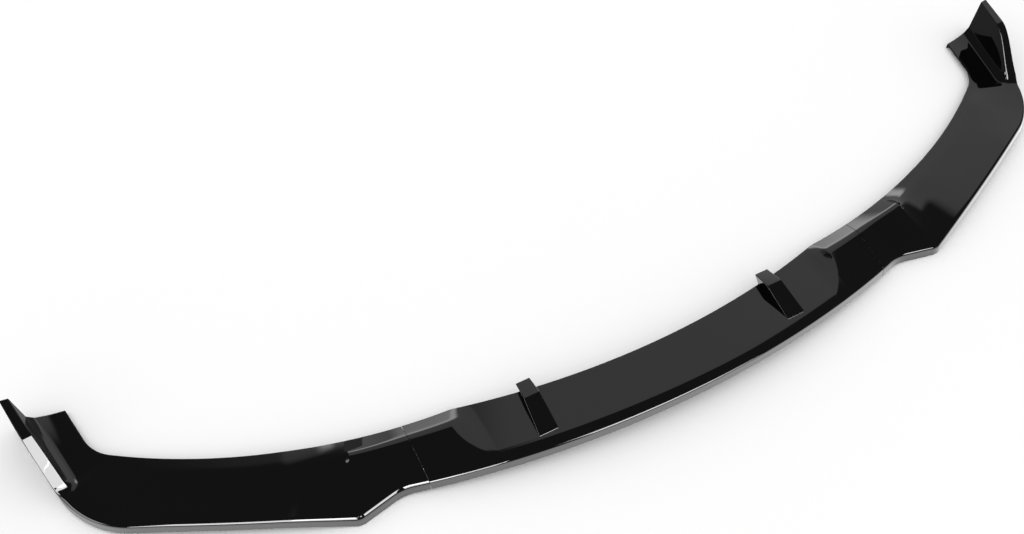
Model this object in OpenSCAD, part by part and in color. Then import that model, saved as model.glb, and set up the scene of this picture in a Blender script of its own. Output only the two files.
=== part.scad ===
// Front splitter lip in three moulded sections, bolted together at two hidden flanges.
// Millimetres. X runs across the car, the front edge faces -Y, Z is up.
// It stands as it lies on a flat surface: on its two notch corners and its two rear ends.
// The right half is worked out first, and the left half mirrors it.

/* [Front edge] */
// Plan radius of the centre front edge
centre_r = 1495; // [1200:5:1900]
// Half distance between the inner corners of the two front notches
notch_in_x = 432; // [420:1:455]
// Half distance between the outer corners of the two front notches
notch_out_x = 503; // [490:1:530]
// How far the outer notch corners stand in front of the inner ones
notch_step = 14; // [6:0.5:22]
// Corner easing at the inner notch corners
notch_in_ease = 16; // [8:1:22]
// Corner easing at the outer notch corners
notch_out_ease = 8; // [5:1:12]
// Heading of the outer front edge where it leaves the notch, in degrees
outer_head = 23; // [20:0.5:26]
// Length of the outer front edge
outer_len = 314; // [280:1:330]
// Turn of the outer front edge along its length, in degrees
outer_turn = 4; // [2:0.5:7]
// Plan radius of the outer front corner
corner_r = 148; // [130:1:165]
// Turn of the outer front corner, in degrees
corner_turn = 53; // [46:1:55]
// Length of the winglet's outer edge behind the corner
winglet_len = 136; // [125:1:150]

/* [Rear edge] */
// Depth of the centre section on the centre line
mid_depth = 101.7; // [90:0.5:115]
// Plan radius of the centre section's rear edge
mid_rear_r = 1145; // [1000:5:1400]
// Half width of the centre section's scoop at the rear edge
scoop_x = 319.5; // [312:0.5:325]
// Heading of the side's rear edge where it leaves the scoop, in degrees
side_rear_head = 3.7; // [2:0.1:6]
// Plan radius of the side's rear edge
side_rear_r = 908; // [880:1:940]
// Plan radius of the rear edge's corner into the winglet
rear_corner_r = 66; // [50:1:80]
// Width of the rear end, square to the winglet's outer edge
end_w = 66.3; // [60:0.1:72]
// How far the rear end's inner corner stands in front of its outer corner
end_back = 22.6; // [16:0.1:30]
// How much the rear end's inner edge turns away from the winglet's outer edge, in degrees
end_spread = 1; // [0:0.5:3]

/* [Heights] */
// Height of the front wall, which the whole lip shares
wall_h = 16; // [14:0.5:20]
// How far the front wall leans back over its height
wall_lean = 3; // [2:0.25:5]
// How far a winglet's outer wall leans in over its height
winglet_lean = 0.5; // [0:0.25:2]
// Lift of the lower edge at the centre line over the notch corners
arch = 25; // [15:1:32]
// Lift of the lower edge at the inner notch corners
notch_lift = 2.5; // [1:0.5:6]
// Lift of the lower edge along the outer front edge
outer_lift = 10; // [6:0.5:14]
// Lift of the lower edge at the outer front corners
corner_lift = 3; // [1:0.5:6]
// Length over which the outer lower edge lifts behind the notch
lift_run = 120; // [80:5:160]
// Height of the rear edge on the centre line
mid_rear_z = 37.5; // [33:0.5:42]
// Height of the rear edge along the sides
side_rear_z = 22; // [19:0.5:26]
// Height of the rear edge at its corner into the winglet
corner_rear_z = 13; // [11:0.5:17]
// Height of the rear edge at the rear end
end_rear_z = 9; // [7:0.5:12]

/* [Crest] */
// Half distance between the inner ends of the crest
crest_in_x = 331; // [327:1:340]
// Width of the rear band behind the crest at the seam
band_w = 26; // [20:0.5:30]
// Width of the rear band at the crest's peak
peak_band_w = 31; // [26:0.5:36]
// Width of the rear band along the outer part
outer_band_w = 22; // [16:0.5:26]
// Height of the crest over the rear edge at the seam
crest_h = 12; // [8:0.5:15]
// Height of the crest over the rear edge at its peak
peak_h = 20; // [14:0.5:24]
// Height of the crest over the rear edge along the outer part
outer_crest_h = 4; // [2:0.5:7]
// Length over which the peak fades outwards
peak_fade = 30; // [20:1:45]

/* [Scoop] */
// Half distance between the inner ends of the scoop's ramps
ramp_x = 290; // [270:1:296]
// Width of the rolled strip behind the front edge
roll_w = 17; // [8:0.5:20]
// Rise of the rolled strip
roll_h = 2; // [0.5:0.25:3]

/* [Fins] */
// Distance from the centre line to each fin's inner face
fin_x = 198; // [150:1:225]
// Width of a fin at its rear end
fin_w = 23; // [16:0.5:28]
// Width of a fin at its foot
fin_foot_w = 31; // [28:0.5:36]
// Distance of a fin's foot behind the centre front edge
fin_foot_y = 41.5; // [36:0.5:50]
// Distance of a fin's bend behind the centre front edge
fin_bend_y = 101; // [90:0.5:108]
// Height of a fin's bend over the scoop
fin_h = 17.5; // [10:0.5:20]
// How far a fin's rear top stands out behind the rear edge
fin_over = 11; // [4:0.5:14]
// Height of a fin's rear top over the rear edge
fin_rear_h = 10; // [7:0.5:14]
// Wall of a fin, which is hollow from below
fin_wall = 2.5; // [2:0.25:4]

/* [Winglets] */
// Rise of a winglet's top over the front wall
winglet_h = 61; // [45:1:65]
// Length over which a winglet's top edge climbs
climb_len = 104; // [90:1:115]
// How far in front of the corner's end the climb starts
climb_lead = 24; // [15:1:30]
// Width of a winglet's rim at the rear end
rim_w = 13; // [11:0.5:16]
// Width of a winglet's rim where it starts
rim_start_w = 16.5; // [14:0.5:19]
// Drop of the rim's inner edge below its outer edge
rim_drop = 0; // [0:0.5:4]
// Height of the foot of a winglet's inner face
foot_z = 22; // [18:0.5:26]
// Height of the groove inside that foot
groove_z = 12.5; // [10:0.5:15]
// Width of the step between that foot and the groove
step_w = 9.5; // [7:0.5:12]

/* [Shell and joints] */
// Wall thickness of the moulded shell
skin = 3; // [2.5:0.25:4]
// Distance from the centre line to each seam
seam_x = 395; // [380:1:405]
// Thickness of the joint flanges and of the rear end walls
flange_t = 3; // [2.5:0.25:4]
// Height of the joint flanges' lower edge
flange_z = 8; // [6:0.5:9]
// Nominal diameter of the joint bolts
bolt_d = 5; // [4:0.5:5]
// Clearance of the bolt holes over the bolts
bolt_play = 0.5; // [0.2:0.1:0.8]
// Distance of the front bolt behind the front edge at the seam
bolt_front = 28; // [24:1:34]
// Distance between the two bolts of a seam
bolt_pitch = 46; // [36:1:48]
// Height of the bolts
bolt_z = 16.5; // [15:0.5:17]
// Size of the bolt heads and nuts across the flats
hex_af = 8; // [7:0.5:8]
// Height of the bolt heads
head_h = 3.5; // [3:0.25:4]
// Height of the nuts
nut_h = 4; // [3:0.25:5]
// Outer diameter of the washers
washer_d = 10; // [9:0.5:10]
// Thickness of the washers
washer_t = 1; // [0.8:0.1:1.2]
// How far a bolt's end stands out of its nut
bolt_end = 4; // [1:0.5:6]
// Clearance of the nuts' threads over the bolts
thread_play = 0.1; // [0.04:0.02:0.2]

/* [Fixing holes] */
// Diameter of the fixing hole outside each crest peak
fix_d = 5; // [4:0.5:6]
// Distance from the centre line to each fixing hole
fix_x = 486; // [484:0.5:492]
// Distance of each fixing hole in front of the rear edge
fix_in = 41; // [38:0.5:43]

/* [Hidden] */
gloss_black = "#17181a";
zinc = "#b9bcc0";

// General helpers
function ahead(h) = [cos(h), sin(h)];
function leftward(h) = [-sin(h), cos(h)];
function clamp01(t) = min(1, max(0, t));
function mix(a, b, t) = a + (b - a) * t;
function smooth(t) = let (c = clamp01(t)) c * c * (3 - 2 * c);
function arc_pt(p, h, r, a) = p + r * [sin(h + a) - sin(h), cos(h) - cos(h + a)];
function deg(len, r) = len / r * 180 / PI;
function bend(p0, p1, p2, t) = (1 - t) * (1 - t) * p0 + 2 * t * (1 - t) * p1 + t * t * p2;
function steps(a, b, n) = [for (i = [0 : n - 1]) a + (b - a) * i / n];

// Plan of the front edge. Up to the notch the station u is the distance from the centre line,
// and beyond the notch it grows with the length of the edge.
function centre_front(x) = [x, centre_r - sqrt(centre_r * centre_r - x * x)];
notch_in = centre_front(notch_in_x);
notch_out = [notch_out_x, notch_in.y - notch_step];
corner_len = corner_r * corner_turn * PI / 180;
outer_r = outer_len / (outer_turn * PI / 180);
u_corner = notch_out_x + outer_len;
u_winglet = u_corner + corner_len;
u_end = u_winglet + winglet_len;
corner_start = arc_pt(notch_out, outer_head, outer_r, outer_turn);
corner_end = arc_pt(corner_start, outer_head + outer_turn, corner_r, corner_turn);
winglet_head = outer_head + outer_turn + corner_turn;
function notch_line(x) = mix(notch_in, notch_out, (x - notch_in_x) / (notch_out_x - notch_in_x));
function outer_front(s) = s < outer_len ? arc_pt(notch_out, outer_head, outer_r, deg(s, outer_r))
    : s < outer_len + corner_len
    ? arc_pt(corner_start, outer_head + outer_turn, corner_r, deg(s - outer_len, corner_r))
    : corner_end + (s - outer_len - corner_len) * ahead(winglet_head);
function front(u) = u < notch_in_x - notch_in_ease ? centre_front(u)
    : u < notch_in_x + notch_in_ease
    ? bend(centre_front(notch_in_x - notch_in_ease), notch_in,
        notch_line(notch_in_x + notch_in_ease), (u - notch_in_x) / (2 * notch_in_ease) + 0.5)
    : u < notch_out_x - notch_out_ease ? notch_line(u)
    : u < notch_out_x + notch_out_ease
    ? bend(notch_line(notch_out_x - notch_out_ease), notch_out, outer_front(notch_out_ease),
        (u - notch_out_x) / (2 * notch_out_ease) + 0.5)
    : outer_front(u - notch_out_x);

// Plan of the rear edge, by the length v along it. Its last stretch ends at a given width from the
// front edge's end, and the corner before it is an arc that touches that stretch and the side's arc.
v_scoop = mid_rear_r * asin(scoop_x / mid_rear_r) * PI / 180;
scoop_corner = [scoop_x, mid_depth + mid_rear_r - sqrt(mid_rear_r * mid_rear_r - scoop_x * scoop_x)];
end_head = winglet_head - end_spread;
rear_end = corner_end + (winglet_len - end_back) * ahead(winglet_head) + end_w * leftward(winglet_head);
side_centre = scoop_corner + side_rear_r * leftward(side_rear_head);
to_end = rear_end + rear_corner_r * leftward(end_head) - side_centre;
centre_gap = side_rear_r - rear_corner_r;
end_off = to_end * leftward(end_head);
rear_end_len = to_end * ahead(end_head) + sqrt(centre_gap * centre_gap - end_off * end_off);
to_corner = to_end - rear_end_len * ahead(end_head);
side_rear_turn = atan2(to_corner.x, -to_corner.y) - side_rear_head;
rear_corner_turn = end_head - side_rear_head - side_rear_turn;
side_rear_len = side_rear_r * side_rear_turn * PI / 180;
rear_corner_len = rear_corner_r * rear_corner_turn * PI / 180;
v_bend = v_scoop + side_rear_len;
v_end = v_bend + rear_corner_len + rear_end_len;
rear_bend = arc_pt(scoop_corner, side_rear_head, side_rear_r, side_rear_turn);
rear_straight = arc_pt(rear_bend, side_rear_head + side_rear_turn, rear_corner_r, rear_corner_turn);
function rear_edge(v) = v < v_scoop
    ? arc_pt([0, mid_depth], 0, mid_rear_r, deg(v, mid_rear_r))
    : v < v_bend ? arc_pt(scoop_corner, side_rear_head, side_rear_r, deg(v - v_scoop, side_rear_r))
    : v < v_bend + rear_corner_len
    ? arc_pt(rear_bend, side_rear_head + side_rear_turn, rear_corner_r, deg(v - v_bend, rear_corner_r))
    : rear_straight + (v - v_bend - rear_corner_len) * ahead(end_head);
function side_v(x) = v_scoop + side_rear_r * PI / 180
    * (asin(sin(side_rear_head) + (x - scoop_x) / side_rear_r) - side_rear_head);

// Which rear point each front station is joined to
peak_in = 29;
corner_in = 50;
peak_x = notch_out_x - peak_in;
corner_x = corner_start.x - corner_in;
function rear_v(u) = u < scoop_x ? mid_rear_r * asin(u / mid_rear_r) * PI / 180
    : u < seam_x ? side_v(u)
    : lookup(u, [[seam_x, side_v(seam_x)], [notch_out_x, side_v(peak_x)],
        [u_corner, side_v(corner_x)], [u_winglet, v_bend], [u_end, v_end]]);
function rear(u) = rear_edge(rear_v(u));
function depth(u) = norm(rear(u) - front(u));
function across(u) = (rear(u) - front(u)) / depth(u);

// Heights of the edges
function low_z(u) = u < notch_in_x ? mix(arch, notch_lift, pow(u / notch_in_x, 2))
    : u < notch_out_x ? mix(notch_lift, 0, (u - notch_in_x) / (notch_out_x - notch_in_x))
    : u < u_winglet ? mix(outer_lift * sin(90 * clamp01((u - notch_out_x) / lift_run)),
        corner_lift, smooth((u - u_corner + lift_run / 2) / lift_run))
    : mix(corner_lift, 0, (u - u_winglet) / winglet_len);
function wall_top(u) = (u < u_winglet ? low_z(u) : corner_lift) + wall_h;
function lean(u) = mix(wall_lean, winglet_lean, smooth((u - u_winglet + climb_lead) / climb_lead));
function climb(u) = winglet_h * smooth((u - u_winglet + climb_lead) / climb_len);
function top_z(u) = wall_top(u) + climb(u);
function rear_z(u) = let (v = rear_v(u))
    v < v_scoop ? mix(mid_rear_z, side_rear_z, pow(v / v_scoop, 2))
    : v < v_bend ? mix(side_rear_z, corner_rear_z, clamp01(2 * (v - v_scoop) / side_rear_len - 1))
    : mix(corner_rear_z, end_rear_z, (v - v_bend) / (v_end - v_bend));

// Crest line in front of the rear band
function to_peak(u) = smooth((u - seam_x) / (notch_out_x - seam_x));
function from_peak(u) = exp(-(u - notch_out_x) / peak_fade);
function band(u) = u < notch_out_x ? mix(band_w, peak_band_w, to_peak(u))
    : mix(outer_band_w, peak_band_w, from_peak(u));
function crest_z(u) = rear_z(u) + (u < notch_out_x ? mix(crest_h, peak_h, to_peak(u))
    : mix(outer_crest_h, peak_h, from_peak(u)));
function crest_a(u) = depth(u) - band(u);

// Height of the blade at the distance a behind the front edge
function side_z(u, a) = a < crest_a(u)
    ? mix(wall_top(u), crest_z(u), (a - lean(u)) / (crest_a(u) - lean(u)))
    : mix(crest_z(u), rear_z(u), (a - crest_a(u)) / band(u));
roll_a = wall_lean + roll_w;
function scoop_z(u, a) = a < roll_a
    ? wall_top(u) + roll_h * (a - wall_lean) / roll_w
    : mix(wall_top(u) + roll_h, rear_z(u), (a - roll_a) / (depth(u) - roll_a));
ramp_front = 7;
ramp_margin = 10;
ramp_foot = 0.4;
ramp_start = wall_lean + ramp_front;
function ramp_edge(u, a) = let (c = crest_a(u))
    a > c ? mix(crest_in_x, scoop_x, (a - c) / band(u))
    : mix(ramp_x, crest_in_x, max(0, 1 - pow((c - a) / (c - ramp_start), 2)));
function ramp_rise(t) = (t < ramp_foot ? t * t / (2 * ramp_foot) : t - ramp_foot / 2) / (1 - ramp_foot / 2);
function ramp(u, a) = let (x = front(u).x + a * across(u).x, e = ramp_edge(u, a))
    x <= ramp_x ? 0 : x >= e ? 1 : ramp_rise((x - ramp_x) / (e - ramp_x));
function blade_z(u, a) = u < ramp_x - ramp_margin ? scoop_z(u, a)
    : u > crest_in_x + ramp_margin ? side_z(u, a)
    : mix(scoop_z(u, a), side_z(u, a), ramp(u, a));

// Fold of the winglet: 0 on the blade, 1 where the groove is full
fold_run = 26;
function fold(u) = smooth((u - u_winglet + fold_run) / fold_run);
function rim(u) = mix(rim_start_w, rim_w, clamp01((u - u_winglet) / winglet_len)) + lean(u);
foot_lean = 4.5;
function foot_a(u) = rim(u) + foot_lean;
function groove_a(u) = foot_a(u) + step_w;
function groove_floor(u, a) = a < crest_a(u)
    ? mix(groove_z, crest_z(u), clamp01((a - groove_a(u)) / (crest_a(u) - groove_a(u))))
    : side_z(u, a);
function inner_z(u, a) = mix(blade_z(u, a), groove_floor(u, a), fold(u));

// One cross-section: from the lower edge up the front wall and back to the rear edge,
// as pairs of the distance behind the front edge and the height
crest_round = 5;
crest_dip = 0.5;
edge_round = 2;
rim_edge = 0.5;
foot_gap = 1;
function section(u, blade_steps) = let (c = crest_a(u), g = groove_a(u), f = fold(u), l = lean(u),
        r = edge_round, k = l / wall_h)
    concat(
        [[0, low_z(u)], [l - k * r, top_z(u) - r], [l + r, top_z(u)]],
        [[rim(u) - r, mix(blade_z(u, rim(u) - r), top_z(u) - rim_drop, f)]],
        [[rim(u) + rim_edge,
            mix(blade_z(u, rim(u)), max(foot_z + foot_gap, top_z(u) - rim_drop - r), f)]],
        [[foot_a(u), mix(blade_z(u, foot_a(u)), min(foot_z, top_z(u) - rim_drop - r), f)]],
        [for (i = [0 : blade_steps - 1]) let (a = mix(g, c - crest_round, i / blade_steps))
            [a, inner_z(u, a)]],
        [[c - crest_round, inner_z(u, c - crest_round)]],
        [[c, inner_z(u, c) - crest_dip]],
        [[c + crest_round, inner_z(u, c + crest_round)]],
        [[depth(u), rear_z(u)]]);

// The same section moved inwards by a thickness, for the underside of the shell
function unit(v) = v / norm(v);
function inward(v) = [v.y, -v.x];
function inset(s, t) = [for (i = [0 : len(s) - 1])
    let (n0 = inward(unit(i == 0 ? s[1] - s[0] : s[i] - s[i - 1])),
        n1 = inward(unit(i == len(s) - 1 ? s[i] - s[i - 1] : s[i + 1] - s[i])),
        p = s[i] + t * (n0 + n1) / (1 + n0 * n1))
    i == 0 ? [p.x, s[0].y] : p];
function place(u, side, p) = let (q = front(u) + p.x * across(u)) [side * q.x, q.y, p.y];
min_step = 0.6;
function ring(u, side, shut, blade_steps) = let (s = section(u, blade_steps), t = inset(s, skin),
        n = len(s),
        under = shut ? [for (i = [0 : n - 1]) [max(t[i].x, skin + i * min_step), s[0].y]] : t)
    concat([for (p = under) place(u, side, p)], [for (i = [n - 1 : -1 : 0]) place(u, side, s[i])]);

// A shell lofted through stations, each with its side of the car and whether it is shut:
// at a shut station the section is filled down to its lower edge
module loft(stations, blade_steps) {
    rings = [for (s = stations) ring(s[0], s[1], s[2], blade_steps)];
    n = len(rings[0]);
    half = n / 2;
    last = len(rings) - 1;
    sides = [for (j = [0 : last - 1]) for (i = [0 : n - 1]) let (k = (i + 1) % n)
        each [[j * n + i, (j + 1) * n + i, j * n + k],
            [j * n + k, (j + 1) * n + i, (j + 1) * n + k]]];
    first_cap = [for (i = [0 : half - 2])
        each [[i, i + 1, n - 2 - i], [i, n - 2 - i, n - 1 - i]]];
    last_cap = [for (f = first_cap) [f[2] + last * n, f[1] + last * n, f[0] + last * n]];
    polyhedron(points = [for (r = rings) each r], faces = concat(sides, first_cap, last_cap));
}

// Stations, closer together where the shape changes quickly
before_ramp = ramp_x - 3 * ramp_margin;
after_ramp = crest_in_x + ramp_margin;
half_centre = concat(steps(0, before_ramp, 6), [before_ramp], steps(ramp_x, after_ramp, 8),
    steps(after_ramp, seam_x, 3));
side_stations = concat(steps(seam_x, notch_in_x - notch_in_ease, 2),
    steps(notch_in_x - notch_in_ease, notch_in_x + notch_in_ease, 5),
    steps(notch_in_x + notch_in_ease, notch_out_x - notch_out_ease, 4),
    steps(notch_out_x - notch_out_ease, notch_out_x + notch_out_ease, 5),
    steps(notch_out_x + notch_out_ease, notch_out_x + lift_run, 8),
    steps(notch_out_x + lift_run, u_corner, 6), steps(u_corner, u_winglet - fold_run, 7),
    steps(u_winglet - fold_run, u_winglet, 6), steps(u_winglet, u_winglet + climb_len, 10),
    steps(u_winglet + climb_len, u_end - flange_t, 3), [u_end - flange_t]);
wall_draft = 0.4;
end_stations = [u_end - flange_t + wall_draft, u_end];

// A flange across the shell at a station, down to the height z, on the centre's side or the other
module flange(u, z, t, inner) {
    d = across(u);
    core = inset(section(u, 1), skin / 2);
    translate([front(u).x, front(u).y, 0]) rotate([0, 0, atan2(d.y, d.x)])
        translate([0, inner ? t : 0, 0]) rotate([90, 0, 0]) linear_extrude(t)
            polygon(concat([[core[0].x, z]], [for (i = [1 : len(core) - 1]) core[i]],
                [[core[len(core) - 1].x, z]]));
}

// Fins, whose side view is drawn from the front edge's centre back
fin_tip = 0.5;
fin_root = 1;
fin_mid = fin_x + fin_w / 2;
fin_front = front(fin_mid).y;
fin_rear = rear_edge(mid_rear_r * asin(fin_mid / mid_rear_r) * PI / 180).y;
function under_fin(y) = blade_z(fin_mid, y - fin_front);
function fin_side(sole) = [[fin_foot_y, under_fin(fin_foot_y) + fin_tip],
    [fin_bend_y, under_fin(fin_bend_y) + fin_h], [fin_rear + fin_over, rear_z(fin_mid) + fin_rear_h],
    [fin_rear - fin_root, rear_z(fin_mid) - sole], [fin_foot_y, under_fin(fin_foot_y) - sole]];
function shrink(s, t) = let (n = len(s)) [for (i = [0 : n - 1])
    let (n0 = inward(unit(s[i] - s[(i + n - 1) % n])), n1 = inward(unit(s[(i + 1) % n] - s[i])))
    s[i] + t * (n0 + n1) / (1 + n0 * n1)];
module fin_body(wall, sole) {
    intersection() {
        rotate([90, 0, 90]) linear_extrude(fin_x + 2 * fin_foot_w) polygon(shrink(fin_side(sole), wall));
        linear_extrude(mid_rear_z + 2 * fin_h) polygon([[fin_x + wall, fin_foot_y],
            [fin_x + fin_foot_w - wall, fin_foot_y],
            [fin_x + fin_w - wall, fin_rear + fin_over], [fin_x + wall, fin_rear + fin_over]]);
    }
}

// Joint bolts, with the head on the centre section's side
hole_d = bolt_d + bolt_play;
bolt_len = 2 * flange_t + 2 * washer_t + nut_h + bolt_end;
head_face = -flange_t - washer_t;
nut_face = flange_t + washer_t;
module at_bolts() {
    for (i = [0 : 1]) translate([seam_x, front(seam_x).y + bolt_front + i * bolt_pitch, bolt_z])
        rotate([0, 90, 0]) children();
}
module bolt_holes() {
    at_bolts() translate([0, 0, -2 * flange_t]) cylinder(h = 4 * flange_t, d = hole_d, $fn = 48);
}
module hexagon(h) { cylinder(h = h, d = hex_af / cos(30), $fn = 6); }
module joint_bolts() {
    color(zinc) at_bolts() translate([0, 0, head_face]) {
        translate([0, 0, -head_h]) hexagon(head_h);
        cylinder(h = bolt_len, d = bolt_d, $fn = 48);
    }
}
module joint_washers() {
    color(zinc) at_bolts() for (z = [head_face, flange_t]) translate([0, 0, z]) difference() {
        cylinder(h = washer_t, d = washer_d, $fn = 48);
        translate([0, 0, -washer_t]) cylinder(h = 3 * washer_t, d = hole_d, $fn = 48);
    }
}
module joint_nuts() {
    color(zinc) at_bolts() translate([0, 0, nut_face]) difference() {
        hexagon(nut_h);
        translate([0, 0, -nut_h]) cylinder(h = 3 * nut_h, d = bolt_d + thread_play, $fn = 48);
    }
}

// Everything is centred front to back
y_shift = -front(u_end).y / 2;
module right() { translate([0, y_shift, 0]) children(); }
module left() { mirror([1, 0, 0]) right() children(); }

module centre_section() {
    right_stations = concat(half_centre, [seam_x]);
    n = len(right_stations);
    color(gloss_black) difference() {
        union() {
            right() loft(concat([for (i = [n - 1 : -1 : 1]) [right_stations[i], -1, false]],
                [for (u = right_stations) [u, 1, false]]), 6);
            for (k = [0 : 1]) mirror([k, 0, 0]) right() {
                flange(seam_x, flange_z, flange_t, true);
                fin_body(0, skin / 2);
            }
        }
        for (k = [0 : 1]) mirror([k, 0, 0]) right() {
            bolt_holes();
            fin_body(fin_wall, 3 * skin);
        }
    }
}
module side_section() {
    fix_y = rear_edge(side_v(fix_x)).y - fix_in;
    color(gloss_black) difference() {
        union() {
            loft(concat([for (u = side_stations) [u, 1, false]], [for (u = end_stations) [u, 1, true]]), 2);
            flange(seam_x, flange_z, flange_t, false);
        }
        bolt_holes();
        translate([fix_x, fix_y, 0]) cylinder(h = 2 * mid_rear_z, d = fix_d, $fn = 48);
    }
}
module left_section() { left() side_section(); }
module right_section() { right() side_section(); }
module left_joint_bolts() { left() joint_bolts(); }
module left_joint_washers() { left() joint_washers(); }
module left_joint_nuts() { left() joint_nuts(); }
module right_joint_bolts() { right() joint_bolts(); }
module right_joint_washers() { right() joint_washers(); }
module right_joint_nuts() { right() joint_nuts(); }

centre_section();
left_section();
right_section();
left_joint_bolts();
left_joint_washers();
left_joint_nuts();
right_joint_bolts();
right_joint_washers();
right_joint_nuts();
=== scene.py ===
"""Looks of a front splitter lip: three moulded gloss black sections bolted together at two seams."""

from math import asin, atan2, cos, exp, pi, radians, sin, sqrt

import bmesh
import bpy
import numpy as np
from mathutils import Matrix


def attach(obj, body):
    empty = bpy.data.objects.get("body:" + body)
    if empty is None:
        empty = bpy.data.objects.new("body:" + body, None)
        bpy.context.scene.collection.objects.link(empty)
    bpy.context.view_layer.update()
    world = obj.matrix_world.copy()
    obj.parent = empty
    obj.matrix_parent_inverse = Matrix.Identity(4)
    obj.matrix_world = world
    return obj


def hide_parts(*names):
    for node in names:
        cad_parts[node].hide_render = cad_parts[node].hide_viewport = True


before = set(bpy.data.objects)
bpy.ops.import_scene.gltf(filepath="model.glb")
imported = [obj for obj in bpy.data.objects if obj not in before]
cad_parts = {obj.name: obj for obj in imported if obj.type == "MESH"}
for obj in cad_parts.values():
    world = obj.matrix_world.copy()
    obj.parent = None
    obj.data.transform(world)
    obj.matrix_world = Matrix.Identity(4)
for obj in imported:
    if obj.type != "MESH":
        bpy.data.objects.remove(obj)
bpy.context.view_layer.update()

bl_info = {
    "name": "Front splitter lip",
    "version": (1, 0, 0),
    "blender": (4, 5, 0),
    "location": "View3D > Sidebar > Splitter lip",
    "description": "Builds a front splitter lip in three gloss black sections around its packed frame",
    "category": "Add Mesh",
}


# Properties

def length(label, text, millimetres):
    """A property that holds a length, given here in millimetres."""
    return bpy.props.FloatProperty(name=label, description=text, default=millimetres / 1000,
                                   unit="LENGTH", precision=4)


def turn(label, text, degrees):
    """A property that holds an angle, given here in degrees."""
    return bpy.props.FloatProperty(name=label, description=text, default=radians(degrees),
                                   subtype="ANGLE", precision=2)


def hex_colour(label, text, value):
    """A property that holds an sRGB colour as a hex value."""
    return bpy.props.StringProperty(name=label, description=text, default=value)


def level(label, text, value):
    """A property that holds a brightness, where 1 is white."""
    return bpy.props.FloatProperty(name=label, description=text, default=value, min=0)


def span(label, text, low, high):
    """A property that holds two places along one axis, in metres."""
    return bpy.props.FloatVectorProperty(name=label, description=text, size=2, default=(low, high),
                                         subtype="NONE", unit="LENGTH")


class LipPlanSizes(bpy.types.PropertyGroup):
    """Plan of the right half, which the left half mirrors"""
    centre_r: length("Centre radius", "Plan radius of the centre front edge", 1495)
    notch_in_x: length("Inner notch corner", "Centre line to a notch's inner corner", 432)
    notch_out_x: length("Outer notch corner", "Centre line to a notch's outer corner", 503)
    notch_step: length("Notch step", "How far the outer notch corner stands in front", 14)
    notch_in_ease: length("Inner easing", "Easing of the inner notch corner", 16)
    notch_out_ease: length("Outer easing", "Easing of the outer notch corner", 8)
    outer_head: turn("Outer heading", "Heading of the outer front edge behind the notch", 23)
    outer_len: length("Outer length", "Length of the outer front edge", 314)
    outer_turn: turn("Outer turn", "Turn of the outer front edge along its length", 4)
    corner_r: length("Corner radius", "Plan radius of the outer front corner", 148)
    corner_turn: turn("Corner turn", "Turn of the outer front corner", 53)
    winglet_len: length("Winglet length", "Length of the winglet's outer edge", 136)
    mid_depth: length("Centre depth", "Depth of the lip on the centre line", 101.7)
    mid_rear_r: length("Centre rear radius", "Plan radius of the centre's rear edge", 1145)
    scoop_x: length("Scoop half width", "Centre line to the scoop's end at the rear edge", 319.5)
    side_rear_head: turn("Rear heading", "Heading of the side's rear edge at the scoop", 3.7)
    side_rear_r: length("Side rear radius", "Plan radius of the side's rear edge", 908)
    rear_corner_r: length("Rear corner radius", "Plan radius of the rear edge's corner", 66)
    end_w: length("Rear end width", "Width of the rear end", 66.3)
    end_back: length("Rear end lag", "How far the rear end's inner corner stands in front", 22.6)
    end_spread: turn("Rear end spread", "Turn of the rear end's inner edge from the outer edge", 1)


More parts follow.
